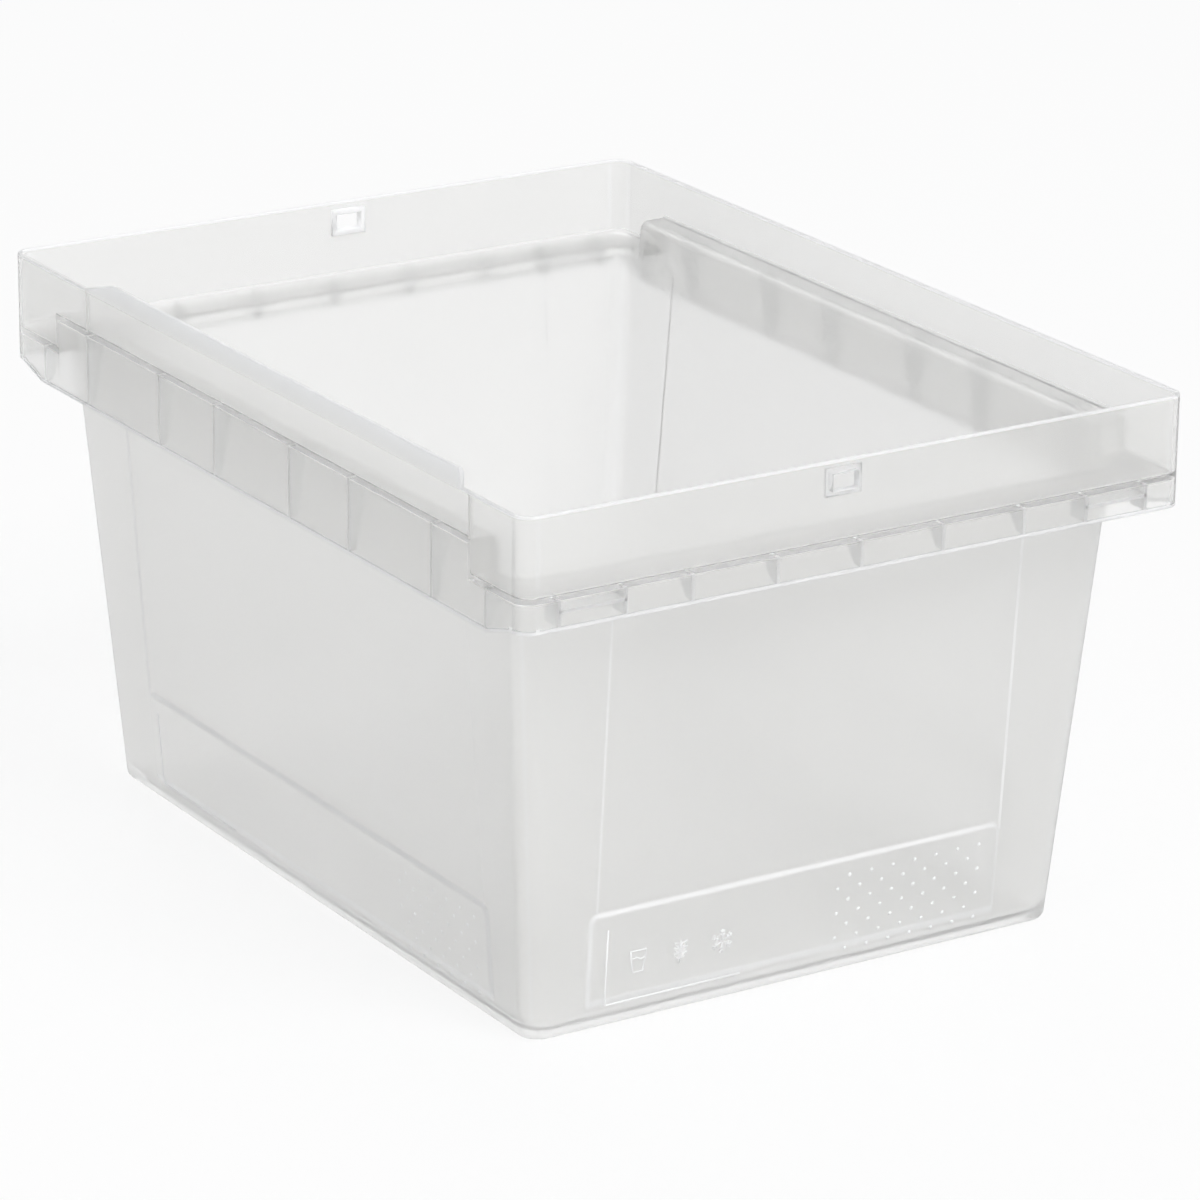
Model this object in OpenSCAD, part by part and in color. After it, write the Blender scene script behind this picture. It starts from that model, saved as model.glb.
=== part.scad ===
// Open storage bin for a kitchen or cold room, moulded in one piece from a
// translucent plastic. A tapered tub carries a tall rim band on a ledge. The
// band hangs below the ledge as a skirt, which is stiffened by webs and makes
// the grip. Each named part is one region of the moulding, and the regions
// meet face to face. Millimetres, +Z up, the base stands on z = 0 and the
// origin is at the middle of the base. The front is the short side at -Y.

/* [Overall] */
// Width over the rim, across the short sides
rim_w = 400; // [330:1:480]
// Length over the rim, along the long sides
rim_l = 540; // [450:1:650]
// Height from the base to the level rim
rim_h = 300; // [250:1:360]

/* [Tub] */
// How far the rim stands out from the tub on the long sides
overhang_long = 17.5; // [15:0.5:24]
// How far the rim stands out from the tub on the short sides
overhang_short = 31.5; // [25:0.5:38]
// Draft of the long walls in degrees
draft_long = 4.3; // [2:0.1:6]
// Draft of the short walls in degrees
draft_short = 3.9; // [2:0.1:6]
// Thickness of the tub walls
wall_t = 2.8; // [2:0.1:3.6]
// Outer radius of the tub's upright corners
tub_r = 12; // [8:0.5:18]
// Radius round the lower edge of the tub
base_r = 4; // [2:0.5:5]
// Thickness of the floor
floor_t = 3; // [2:0.1:4]
// Height of the floor's underside above the ground
foot_h = 3; // [2:0.5:5]
// Flat width of the foot that runs round the base
foot_w = 4; // [2:0.5:8]
// Corner radius inside the foot
foot_r = 8; // [3:0.5:12]
// Height of the base pan, where the walls begin
pan_h = 11; // [10:0.5:14]

/* [Wall relief] */
// Height of the proud lower panel above the base
panel_h = 66; // [45:1:80]
// Plain margin at the base between a panel's end and the front left corner
margin_left = 31.5; // [26:0.5:44]
// The same at a short wall's other end
margin_right_short = 40; // [30:0.5:50]
// The same at a long wall's other end
margin_right_long = 46; // [34:0.5:56]
// How far the lower panel stands out from the wall
panel_proud = 1.5; // [0.8:0.1:2.4]
// Width of the slope round the lower panel
panel_slope = 3; // [1.5:0.1:4]
// Radius of the lower panel's upper corners
panel_r = 6; // [3:0.5:10]
// Depth of the shallow field above the panel
field_depth = 0.6; // [0.3:0.1:0.9]
// How far the field starts in from the panel's end at the front left corner
field_in = 5.5; // [0:0.5:8]

/* [Panel marks] */
// Diameter of a raised dot
dot_d = 2.1; // [1.4:0.1:3]
// Height of the dots and of the raised line
mark_h = 0.4; // [0.2:0.1:0.8]
// Distance between dots in a row
dot_pitch = 13.7; // [10:0.1:16]
// Distance between rows of dots
dot_rows = 7.05; // [5:0.05:7.5]
// Dots in a row on the short walls
dots_short = 7; // [3:1:8]
// Dots in a row on the long walls
dots_long = 6; // [3:1:10]
// Distance of the first dot from the panel's right end
dot_margin = 13.7; // [10:0.1:20]
// Distance of the top row from the panel's upper end
dot_top = 10.6; // [7:0.1:14]
// Least distance of the lowest row from the base pan
dot_low = 2; // [1.5:0.1:6]
// Distance of the raised line from the panel's left end
line_margin = 11.5; // [8:0.5:20]
// Length of the raised line's lower run
line_l = 82; // [40:1:100]
// Distance of the raised line's foot from the base pan
line_low = 2.5; // [2:0.5:6]
// Width of the raised line
line_w = 1; // [0.6:0.1:2]

/* [Rim] */
// Thickness of the rim band and its skirt
band_t = 2.8; // [2:0.1:3.6]
// Outer radius of the band's upright corners
band_r = 10; // [6:0.5:14]
// Height of the band above the ledge
band_up = 43; // [34:1:52]
// Thickness of the ledge
ledge_t = 2.5; // [2:0.1:3.5]
// How far the ledge of the long sides is raised between its two steps
ledge_rise = 18.5; // [12:0.5:22]
// Distance of those steps from the ends of the rim
step_in = 50; // [42:1:60]
// Depth of the skirt below the ledge's underside on the short sides
skirt_short = 15; // [12:0.5:20]
// Depth of the skirt below the ledge's underside on the long sides
skirt_long = 21.5; // [16:0.5:28]
// Distance from a corner to the deeper part of a long skirt
skirt_end = 33; // [24:1:40]
// Length of the slope down to the deeper part of a long skirt
skirt_slope = 22; // [10:1:23]
// Height of the bead along a skirt's lower edge, under the webs
bead_h = 1.5; // [1:0.1:3]
// How far the bead stands in from the skirt
bead_in = 1.2; // [0.6:0.1:2]

/* [Raised lip] */
// Height of the lip above the level rim
lip_h = 9.5; // [5:0.5:14]
// Distance of the lip's upright front end from the front face
lip_front = 58; // [40:1:80]
// Distance of the lip's rear end from the rear face
lip_rear = 87; // [60:1:110]
// Length of the ramp at the lip's rear end
lip_ramp = 33; // [10:1:50]
// Small bevel at the top of the lip's front end
lip_bevel = 2; // [0.5:0.5:3]

/* [Rim slots] */
// Width of the slot in each short side
slot_w = 15.5; // [10:0.5:24]
// Height of the slot
slot_h = 9.2; // [6:0.2:12]
// Distance of the slot's middle below the rim
slot_down = 11.8; // [10:0.2:16]
// Distance of the slot's middle from the middle of its side
slot_shift = 12; // [0:0.5:20]
// Width of the thickened border round the slot
frame_w = 3; // [2:0.5:4]
// How far the border stands in from the band
frame_in = 2.2; // [1:0.1:3]

/* [Webs] */
// Thickness of a web
web_t = 2; // [1.4:0.1:2.6]
// Distance between webs on the short sides
web_pitch = 50; // [40:1:56]
// Webs each side of the middle one on the short sides
web_count = 2; // [1:1:2]
// Gap between a short-side web and the tub, under the ledge
web_clear_short = 12.7; // [8:0.1:16]
// Length of a short-side web at its lower end
web_foot = 5; // [3:0.5:8]
// Distance of the long-side webs nearest to the middle, from the middle
web_inner = 40; // [30:1:50]
// Distance of the next long-side webs from the middle
web_outer = 101; // [80:1:110]
// Distance of the end webs from the ends of a long skirt's deeper part
web_end = 3; // [2:0.5:12]
// Gap between a long-side web and the tub, under the ledge
web_clear_long = 2; // [1:0.1:6]
// Length of a long-side web at its lower end
web_foot_long = 4; // [3:0.5:6]
// Distance from a corner to the nearer web of a corner pocket
pocket_near = 22; // [18:1:28]
// Distance between the two webs of a corner pocket
pocket_w = 40; // [28:1:44]
// Depth of a corner pocket, inward from the skirt
pocket_in = 12; // [8:0.5:16]
// Height of the pocket's shelf below the ledge
pocket_drop = 7; // [5:0.5:9]

/* [Upright ribs] */
// How far the two upright ribs stand in from the left band
rib_in = 1.6; // [1:0.1:2.4]
// Gap between a rib's top and the level rim
rib_gap = 2; // [1:0.5:10]

/* [Hidden] */

corner_steps = 8;      // facets round a quarter of a tub corner
arc = 48;              // circle finish
bite = 1;              // how far a raised form sinks into its wall
panel_rise = 0.2;      // plain strip between the base pan and a panel
over = 30;             // how far a cutting form runs past what it cuts

ledge_top = rim_h - band_up;
ledge_low = ledge_top - ledge_t;
low_short = ledge_low - skirt_short;
low_long = ledge_low - skirt_long;
high_top = ledge_top + ledge_rise;
high_low = high_top - ledge_t;
half_w = rim_w / 2;
half_l = rim_l / 2;
step_y = half_l - step_in;
// Half sizes of the tub's outside, just under the ledge and at the base
top_hw = half_w - overhang_long;
top_hl = half_l - overhang_short;
base_hw = top_hw - ledge_low * tan(draft_long);
base_hl = top_hl - ledge_low * tan(draft_short);
floor_top = foot_h + floor_t;
mouth_r = 5;           // radius where the walls open into the ledge
mouth_steps = 4;       // facets of that radius
wall_top = ledge_top - mouth_r;
plastic = [0.90, 0.91, 0.91, 0.55];

// Half width and half length of the tub's outside at a height
function tub_hw(z) = base_hw + z * tan(draft_long);
function tub_hl(z) = base_hl + z * tan(draft_short);

// One ring of a loft: a rounded rectangle at height z
function ring(hw, hl, r, z) = [
  for (q = [0:3], s = [0:corner_steps])
    let (a = 90 * q + 90 * s / corner_steps,
         sx = (q == 0 || q == 3) ? 1 : -1,
         sy = (q < 2) ? 1 : -1)
      [sx * (hw - r) + r * cos(a), sy * (hl - r) + r * sin(a), z]
];

// A closed solid through a list of rings, lowest first
module loft(rings) {
  n = len(rings[0]);
  m = len(rings);
  sides = [
    for (j = [0:m - 2], i = [0:n - 1])
      let (a = j * n + i, b = j * n + (i + 1) % n)
        [a, a + n, b + n, b]
  ];
  polyhedron(
    points = [for (g = rings) each g],
    faces = concat([[for (i = [0:n - 1]) i]],
                   [[for (i = [n - 1:-1:0]) (m - 1) * n + i]], sides),
    convexity = 4);
}

// The tub's outside, with its rounded lower edge
module tub_outside(z_top) {
  steps = 3;
  loft(concat(
    [for (k = [0:steps])
      let (a = 90 * k / steps, inset = base_r * (1 - sin(a)),
           z = base_r * (1 - cos(a)))
        ring(tub_hw(z) - inset, tub_hl(z) - inset, tub_r - inset, z)],
    [ring(tub_hw(z_top), tub_hl(z_top), tub_r, z_top)]));
}

// The tub's hollow, from the floor to above a ledge, with its rounded bottom
// edge and the rounded mouth where the walls turn out into that ledge
module tub_hollow(ledge = ledge_top) {
  r = tub_r - wall_t;
  rise = pan_h - floor_top;
  loft(concat(
    [for (k = [0:3])
      let (a = 90 * k / 3, inset = wall_t + rise * (1 - sin(a)),
           z = floor_top + rise * (1 - cos(a)))
        ring(tub_hw(z) - inset, tub_hl(z) - inset, r, z)],
    [for (k = [0:mouth_steps + 1])
      let (a = min(90, 90 * k / mouth_steps),
           out = mouth_r * (1 - cos(a)),
           z = (k > mouth_steps) ? ledge + 1
             : ledge - mouth_r + mouth_r * sin(a))
        ring(tub_hw(z) - wall_t + out, tub_hl(z) - wall_t + out, r + out, z)]));
}

// A plate with true round corners
module plate(hw, hl, r, z, h) {
  translate([0, 0, z])
    linear_extrude(h) {
      square([2 * hw, 2 * (hl - r)], center = true);
      square([2 * (hw - r), 2 * hl], center = true);
      for (sx = [-1, 1], sy = [-1, 1])
        translate([sx * (hw - r), sy * (hl - r)])
          circle(r, $fn = arc);
    }
}

// Plan region of the front: between two mitre lines that run through the
// corners [x0, y0], inner, and [x1, y1], outer
module front_region(x0, y0, x1, y1, z, h) {
  slope = (x1 - x0) / (y1 - y0);
  reach = half_l + over;
  back = y0 / 2;
  translate([0, 0, z])
    linear_extrude(h)
      polygon([
        [-x0 - (back - y0) * slope, -back], [-x0 - (reach - y0) * slope, -reach],
        [x0 + (reach - y0) * slope, -reach], [x0 + (back - y0) * slope, -back]
      ]);
}

// Plan region of the left side, between the same mitre lines
module left_region(x0, y0, x1, y1, z, h) {
  slope = (y1 - y0) / (x1 - x0);
  reach = half_w + over;
  back = x0 / 2;
  translate([0, 0, z])
    linear_extrude(h)
      polygon([
        [-back, -y0 - (back - x0) * slope], [-back, y0 + (back - x0) * slope],
        [-reach, y0 + (reach - x0) * slope], [-reach, -y0 - (reach - x0) * slope]
      ]);
}

module wall_region_front()
  front_region(base_hw, base_hl, top_hw, top_hl, pan_h, wall_top - pan_h);
module wall_region_left()
  left_region(base_hw, base_hl, top_hw, top_hl, pan_h, wall_top - pan_h);
module rim_region_front(z, h)
  front_region(top_hw, top_hl, half_w, half_l, z, h);
module rim_region_left(z, h)
  left_region(top_hw, top_hl, half_w, half_l, z, h);

// Puts a form on the outside of a wall: x along the wall, y up its slope and
// z outward. The wall starts at distance d from the middle.
module on_wall(d, draft)
  translate([0, -d, 0])
    rotate([90 + draft, 0, 0])
      children();

// The shallow field above the lower panel, from x0 to x1 along the wall. It
// starts beside the panel's round upper corners.
module field_cut(x0, x1)
  translate([x0, panel_h - panel_r, -field_depth])
    cube([x1 - x0, rim_h, over]);

// Staggered rows of raised dots at the panel's right end, x1, as many rows as
// the panel's height holds
module dots(x1, count) {
  rows = floor((panel_h - dot_top - pan_h - dot_low) / dot_rows) + 1;
  for (row = [0:rows - 1], k = [0:count - 1])
    translate([x1 - dot_margin - k * dot_pitch - (row % 2) * dot_pitch / 2,
               panel_h - dot_top - row * dot_rows, panel_proud - bite])
      cylinder(h = bite + mark_h, d = dot_d, $fn = 24);
}

// The raised line: down the panel's left end, x0, and along its foot
module line_mark(x0)
  translate([x0 + line_margin, pan_h + line_low, panel_proud - bite]) {
    cube([line_w, panel_h - dot_top - pan_h - line_low, bite + mark_h]);
    cube([line_l, line_w, bite + mark_h]);
  }

// The proud lower panel from x0 to x1, sloped all round
module panel(x0, x1) {
  module outline(inset) {
    low = pan_h + panel_rise + inset;
    shoulder = panel_h - inset - panel_r;
    translate([x0 + inset, low])
      square([x1 - x0 - 2 * inset, shoulder - low]);
    for (x = [x0 + inset + panel_r, x1 - inset - panel_r])
      translate([x, shoulder])
        circle(panel_r, $fn = 32);
  }
  hull() {
    translate([0, 0, -bite])
      linear_extrude(bite)
        outline(0);
    linear_extrude(panel_proud)
      outline(panel_slope);
  }
}

module front_wall_form() {
  x0 = -base_hw + margin_left;
  x1 = base_hw - margin_right_short;
  intersection() {
    difference() {
      union() {
        difference() {
          tub_outside(ledge_low);
          on_wall(base_hl, draft_short)
            field_cut(x0 + field_in, x1);
        }
        on_wall(base_hl, draft_short)
          panel(x0, x1);
      }
      tub_hollow();
    }
    wall_region_front();
  }
  on_wall(base_hl, draft_short) {
    dots(x1, dots_short);
    line_mark(x0);
  }
}

module left_wall_form() {
  x0 = -base_hl + margin_right_long;
  x1 = base_hl - margin_left;
  intersection() {
    difference() {
      union() {
        difference() {
          tub_outside(ledge_low);
          rotate([0, 0, -90])
            on_wall(base_hw, draft_long)
              field_cut(x0, x1 - field_in);
        }
        rotate([0, 0, -90])
          on_wall(base_hw, draft_long)
            panel(x0, x1);
      }
      tub_hollow();
    }
    wall_region_left();
  }
  rotate([0, 0, -90])
    on_wall(base_hw, draft_long) {
      dots(x1, dots_long);
      line_mark(x0);
    }
}

// What lies inside the band, from height z, h high
module within_band(z, h)
  plate(half_w - band_t, half_l - band_t, band_r - band_t, z, h);

// The level ledge with the top of the walls, which round out into it
module ledge_ring() {
  difference() {
    union() {
      tub_outside(ledge_low);
      within_band(ledge_low, ledge_t);
    }
    tub_hollow();
  }
}

module front_ledge_form() {
  intersection() {
    ledge_ring();
    rim_region_front(wall_top, ledge_top - wall_top);
  }
}

// A slab across the bin, from y to y + l along it and from height z, h high
module across(y, l, z, h)
  translate([-half_w, y, z])
    cube([rim_w, l, h]);

// The long side's ledge: level at both ends, and raised between two steps
// on walls that rise with it
module left_ledge_form() {
  rise = high_top - ledge_low;
  intersection() {
    union() {
      intersection() {
        ledge_ring();
        union() {
          across(-half_l, half_l - step_y, wall_top, ledge_top - wall_top);
          across(step_y, half_l - step_y, wall_top, ledge_top - wall_top);
        }
      }
      difference() {
        union() {
          intersection() {
            tub_outside(high_low);
            across(-step_y, 2 * step_y, wall_top, high_low - wall_top);
          }
          intersection() {
            within_band(ledge_low, rise);
            union() {
              across(-step_y, 2 * step_y, high_low, ledge_t);
              for (y = [-step_y, step_y - ledge_t])
                across(y, ledge_t, ledge_low, rise);
            }
          }
        }
        tub_hollow(high_top);
      }
    }
    rim_region_left(wall_top, high_top - wall_top);
  }
}

module band_ring(low) {
  difference() {
    plate(half_w, half_l, band_r, low, rim_h - low);
    plate(half_w - band_t, half_l - band_t, band_r - band_t, low - 1, rim_h - low + 2);
  }
}

module slot_cut()
  translate([-slot_shift, -half_l, rim_h - slot_down])
    cube([slot_w, over, slot_h], center = true);

// The bead along the inside of the front skirt's lower edge
module front_bead()
  translate([-half_w + band_r, -half_l + band_t - bite, low_short])
    cube([rim_w - 2 * band_r, bead_in + bite, bead_h]);

module front_band_form() {
  difference() {
    union() {
      intersection() {
        band_ring(low_short);
        rim_region_front(low_short, rim_h - low_short);
      }
      front_bead();
    }
    slot_cut();
  }
}

// The long band, whose skirt runs deeper between two slopes. The bead
// follows the deeper part.
module left_band_form() {
  flat = half_l - skirt_end;
  intersection() {
    band_ring(low_long);
    rim_region_left(low_long, rim_h - low_long);
    rotate([90, 0, 90])
      translate([0, 0, -half_w - 1])
        linear_extrude(rim_w + 2)
          polygon([
            [-half_l - 1, rim_h + 1], [-half_l - 1, low_short],
            [-flat - skirt_slope, low_short], [-flat, low_long], [flat, low_long],
            [flat + skirt_slope, low_short], [half_l + 1, low_short],
            [half_l + 1, rim_h + 1]
          ]);
  }
  translate([-half_w + band_t - bite, -flat, low_long])
    cube([bead_in + bite, 2 * flat, bead_h]);
}

// A web that stands on the bead and carries the ledge: it starts at the skirt
// and is longest at the top, whose height is high
module web(top, foot, low, high)
  translate([-web_t / 2, 0, 0])
    rotate([90, 0, 90])
      linear_extrude(web_t)
        polygon([[0, low + bead_h], [foot, low + bead_h], [top, high],
                 [0, high]]);

module front_webs_form()
  for (k = [-web_count:web_count])
    translate([k * web_pitch, -half_l + band_t, 0])
      web(overhang_short - band_t - web_clear_short, web_foot, low_short, ledge_low);

module left_webs_form()
  for (y = [web_inner, web_outer, half_l - lip_rear, half_l - skirt_end - web_end], s = [-1, 1])
    translate([-half_w + band_t, s * y, 0])
      rotate([0, 0, -90])
        let (high = y < step_y - ledge_t ? high_low : ledge_low)
          web(half_w - band_t - tub_hw(high) - web_clear_long, web_foot_long, low_long, high);

// A pocket near each corner: two webs and a shelf between them
module front_pockets_form() {
  z0 = low_short + bead_h;
  shelf = ledge_low - pocket_drop;
  module pocket()
    translate([-half_w + pocket_near, -half_l + band_t, 0]) {
      for (x = [0, pocket_w - web_t])
        translate([x, 0, z0])
          cube([web_t, pocket_in, ledge_low - z0]);
      translate([0, 0, shelf])
        cube([pocket_w, pocket_in, web_t]);
    }
  pocket();
  mirror([1, 0, 0])
    pocket();
}

// The raised lip on the left band
module lip_form() {
  front = -half_l + lip_front;
  rear = half_l - lip_rear;
  translate([-half_w, 0, rim_h])
    rotate([90, 0, 90])
      linear_extrude(band_t)
        polygon([
          [front, 0], [front, lip_h - lip_bevel], [front + lip_bevel, lip_h],
          [rear - lip_ramp, lip_h], [rear, 0]
        ]);
}

// The thickened border round a slot, on the inside of the band
module front_frame() {
  w = slot_w + 2 * frame_w;
  h = slot_h + 2 * frame_w;
  difference() {
    translate([-slot_shift - w / 2, -half_l + band_t, rim_h - slot_down - h / 2])
      cube([w, frame_in, h]);
    slot_cut();
  }
}

// Slim upright ribs inside the left band, on its raised ledge: one over the
// front step and one at the rear end of the lip
module lip_ribs_form()
  for (y = [-step_y, half_l - lip_rear - web_t / 2])
    translate([-half_w + band_t, y, high_top])
      cube([rib_in, web_t, rim_h - rib_gap - high_top]);

// The half turn puts the rear on the front's form and the right on the left's
module turned()
  rotate([0, 0, 180])
    children();

module base_pan()
  color(plastic)
    difference() {
      intersection() {
        tub_outside(ledge_low);
        translate([-rim_w / 2, -rim_l / 2, 0])
          cube([rim_w, rim_l, pan_h]);
      }
      tub_hollow();
      plate(base_hw - base_r - foot_w, base_hl - base_r - foot_w, foot_r, -1, foot_h + 1);
    }

module front_wall()
  color(plastic)
    front_wall_form();
module rear_wall()
  color(plastic)
    turned()
      front_wall_form();
module left_wall()
  color(plastic)
    left_wall_form();
module right_wall()
  color(plastic)
    turned()
      left_wall_form();

module front_ledge()
  color(plastic)
    front_ledge_form();
module rear_ledge()
  color(plastic)
    turned()
      front_ledge();
module left_ledge()
  color(plastic)
    left_ledge_form();
module right_ledge()
  color(plastic)
    turned()
      left_ledge();

module front_band()
  color(plastic)
    front_band_form();
module rear_band()
  color(plastic)
    turned()
      front_band_form();
module left_band()
  color(plastic)
    left_band_form();
module right_band()
  color(plastic)
    turned()
      left_band_form();

module front_webs()
  color(plastic)
    front_webs_form();
module rear_webs()
  color(plastic)
    turned()
      front_webs_form();
module left_webs()
  color(plastic)
    left_webs_form();
module right_webs()
  color(plastic)
    turned()
      left_webs_form();

module front_pockets()
  color(plastic)
    front_pockets_form();
module rear_pockets()
  color(plastic)
    turned()
      front_pockets_form();

module left_lip()
  color(plastic)
    lip_form();

module lip_ribs()
  color(plastic)
    lip_ribs_form();

module front_slot_frame()
  color(plastic)
    front_frame();
module rear_slot_frame()
  color(plastic)
    turned()
      front_frame();

base_pan();
front_wall();
rear_wall();
left_wall();
right_wall();
front_ledge();
rear_ledge();
left_ledge();
right_ledge();
front_band();
rear_band();
left_band();
right_band();
front_webs();
rear_webs();
left_webs();
right_webs();
front_pockets();
rear_pockets();
left_lip();
lip_ribs();
front_slot_frame();
rear_slot_frame();
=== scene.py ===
"""Looks of the open storage bin: one clean skin per region, in frosted translucent plastic.

Sizes are millimetres in the row frame, as in the part's source, and become metres where a mesh
is made. Sides run front, right, rear, left, which is anticlockwise from above. On each side s
runs from its left end to its right end, seen from outside, with 0 at its middle.
"""

import math

import bpy
import numpy as np
from mathutils import Matrix, Vector


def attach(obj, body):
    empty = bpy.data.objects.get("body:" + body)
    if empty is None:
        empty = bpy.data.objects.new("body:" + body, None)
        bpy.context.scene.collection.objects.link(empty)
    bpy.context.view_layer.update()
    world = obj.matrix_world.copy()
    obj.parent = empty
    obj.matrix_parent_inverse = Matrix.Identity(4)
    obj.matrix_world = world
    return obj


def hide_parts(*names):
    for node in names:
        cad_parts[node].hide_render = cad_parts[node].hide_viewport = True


MM = 0.001

# Overall and tub
RIM_W, RIM_L, RIM_H = 400.0, 540.0, 300.0
OVERHANG_LONG, OVERHANG_SHORT = 17.5, 31.5
DRAFT_LONG, DRAFT_SHORT = math.radians(4.3), math.radians(3.9)
WALL_T, TUB_R, BASE_R = 2.8, 12.0, 4.0
FLOOR_T, FOOT_H, FOOT_W, FOOT_R, PAN_H = 3.0, 3.0, 4.0, 8.0, 11.0

# Wall relief
PANEL_H, PANEL_PROUD, PANEL_SLOPE, PANEL_R = 66.0, 1.5, 3.0, 6.0
FIELD_DEPTH, FIELD_IN, FIELD_EDGE, FIELD_TOP_EDGE = 0.6, 5.5, 1.1, 0.6
MARGIN_LEFT, MARGIN_RIGHT_SHORT, MARGIN_RIGHT_LONG = 31.5, 40.0, 46.0

# Rim band, ledge and skirt
BAND_T, BAND_R, BAND_UP, LEDGE_T = 2.8, 10.0, 43.0, 2.5
SKIRT_SHORT, SKIRT_LONG, SKIRT_END, SKIRT_SLOPE = 15.0, 21.5, 33.0, 22.0
BEAD_H, BEAD_IN = 1.5, 1.2
MOUTH_R = 5.0
LEDGE_RISE, STEP_IN = 18.5, 50.0

# Lip on the left band
LIP_H, LIP_FRONT, LIP_REAR, LIP_RAMP, LIP_BEVEL = 9.5, 58.0, 87.0, 33.0, 2.0

# Slots
SLOT_W, SLOT_H, SLOT_DOWN, SLOT_SHIFT = 15.5, 9.2, 11.8, 12.0
FRAME_W, FRAME_IN = 3.0, 2.2

# Webs, pockets, ribs
WEB_T, WEB_PITCH, WEB_COUNT = 2.0, 50.0, 2
WEB_CLEAR_SHORT, WEB_FOOT = 12.7, 5.0
WEB_INNER, WEB_OUTER, WEB_END, WEB_CLEAR_LONG, WEB_FOOT_LONG = 40.0, 101.0, 3.0, 2.0, 4.0
WEB_SOFT, SMALL_SOFT = 0.35, 0.3
POCKET_NEAR, POCKET_W, POCKET_IN, POCKET_DROP = 22.0, 40.0, 12.0, 7.0
RIB_IN, RIB_GAP = 1.6, 2.0
SINK = 0.15  # how far a small solid is let into the skin

# Rounded edges of the skin
BAND_FILLET, RIM_EDGE, SKIRT_EDGE, BEAD_EDGE = 1.6, 1.0, 0.7, 0.4
UNDER_EDGE, UNDER_FILLET = 1.0, 2.2

# Raised marks on the lower panels
DOT_RADIUS, DOT_HEIGHT, DOT_SINK = 1.05, 0.55, 0.12
DOT_ROWS, DOT_TOP, DOT_RISE, DOT_PITCH, DOT_END = 7, 55.4, 7.05, 13.7, 13.7
MARK_HEIGHT, MARK_SINK = 0.5, 0.1
LINE_IN, LINE_TOP, LINE_FOOT, LINE_RUN, LINE_TURN, LINE_W = 11.5, 55.6, 13.3, 82.0, 0.8, 1.0
SIGN_UP, TUMBLER_AT, LEAF_AT, STAR_AT = 34.4, 30.5, 56.0, 81.5

HALF_W, HALF_L = RIM_W / 2, RIM_L / 2
LEDGE_TOP = RIM_H - BAND_UP
LEDGE_LOW = LEDGE_TOP - LEDGE_T
TOP_HW, TOP_HL = HALF_W - OVERHANG_LONG, HALF_L - OVERHANG_SHORT
BASE_HW = TOP_HW - LEDGE_LOW * math.tan(DRAFT_LONG)
BASE_HL = TOP_HL - LEDGE_LOW * math.tan(DRAFT_SHORT)
FLOOR_TOP = FOOT_H + FLOOR_T
WALL_TOP = LEDGE_TOP - MOUTH_R
HIGH_TOP, HIGH_LOW = LEDGE_TOP + LEDGE_RISE, LEDGE_LOW + LEDGE_RISE
STEP = HALF_L - STEP_IN
BAND_OUTSIDE = (HALF_W, HALF_L, BAND_R)
BAND_INSIDE = (HALF_W - BAND_T, HALF_L - BAND_T, BAND_R - BAND_T)
LOW_SHORT, LOW_LONG = LEDGE_LOW - SKIRT_SHORT, LEDGE_LOW - SKIRT_LONG
SLOT_LOW, SLOT_HIGH = RIM_H - SLOT_DOWN - SLOT_H / 2, RIM_H - SLOT_DOWN + SLOT_H / 2
SIDES = ("front", "right", "rear", "left")
LEFT = SIDES.index("left")

# Distances in from a rounded edge at which the mesh has a column or row
EDGE_STEPS = (0, 0.5, 1.0, 1.5, 2.0, 2.6, 3.3, 4.1, 5.0, 6.0, 7.2, 8.6)

# Looks
# The haze group also paints highlight: its last input sets how strongly the edges are whitened.
HAZE_AND_HIGHLIGHT = {"Cloud scale": 14.0, "Cloud depth": 0.5, "Grain scale": 2400.0, "Grain depth": 1.0,
        "Highlight strength": 1.0}
# The third colour is the white of the painted highlight on edges, corners and raised marks.
CLEAR, MILKY, HIGHLIGHT_WHITE = (0.925, 0.925, 0.92, 1), (0.955, 0.953, 0.945, 1), (0.99, 0.995, 1.0, 1)
REFRACTION, GRAIN_STRENGTH, GRAIN_DEPTH = 1.27, 0.06, 0.0001
HIGHLIGHT_FINISH_FROM = 0.45  # share of painted highlight from which a face gets the painted highlight finish

# Each finish: how much light it lets through, and its roughness where it is clear and cloudy.
# A finish keeps its roughness wholly above or wholly below about 0.275, because across that
# value the render cleans what shows through it in two ways, and the seam shows.
FINISHES = {
    "frosted_plastic": (0.875, 0.30, 0.36),
    "satin_band": (0.87, 0.23, 0.27),
    "frosted_webs": (0.40, 0.30, 0.36),
    "raised_marks": (0.30, 0.35, 0.45),
    # The last finish is painted highlight: a less clear, whiter copy of the plastic for the moulded
    # edges.
    "edge_highlight": (0.60, 0.28, 0.34),
}

# Studio. Places and sizes of the lamps are in metres, and their powers in watts.
FLOOR_REACH, FLOOR_GAP = 4000, 0.0002
FLOOR_COLOUR, FLOOR_GLOW, FLOOR_CARRIED = (0.78, 0.78, 0.78, 1), 0.86, 0.92
FILL_COLOUR, FILL_STRENGTH, SKY_CARRIED = (0.97, 0.98, 1.0, 1), 0.42, 1.0
LAMPS = (
    ("key", (0.8, -4.3, 5.4), (0, 0, 0.2), 3.2, 315),
    ("fill", (-5.0, -1.5, 3.4), (0, 0, 0.15), 3.0, 55),
    ("back", (1.0, 4.6, 4.6), (0, 0, 0.2), 3.0, 81),
)

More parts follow.
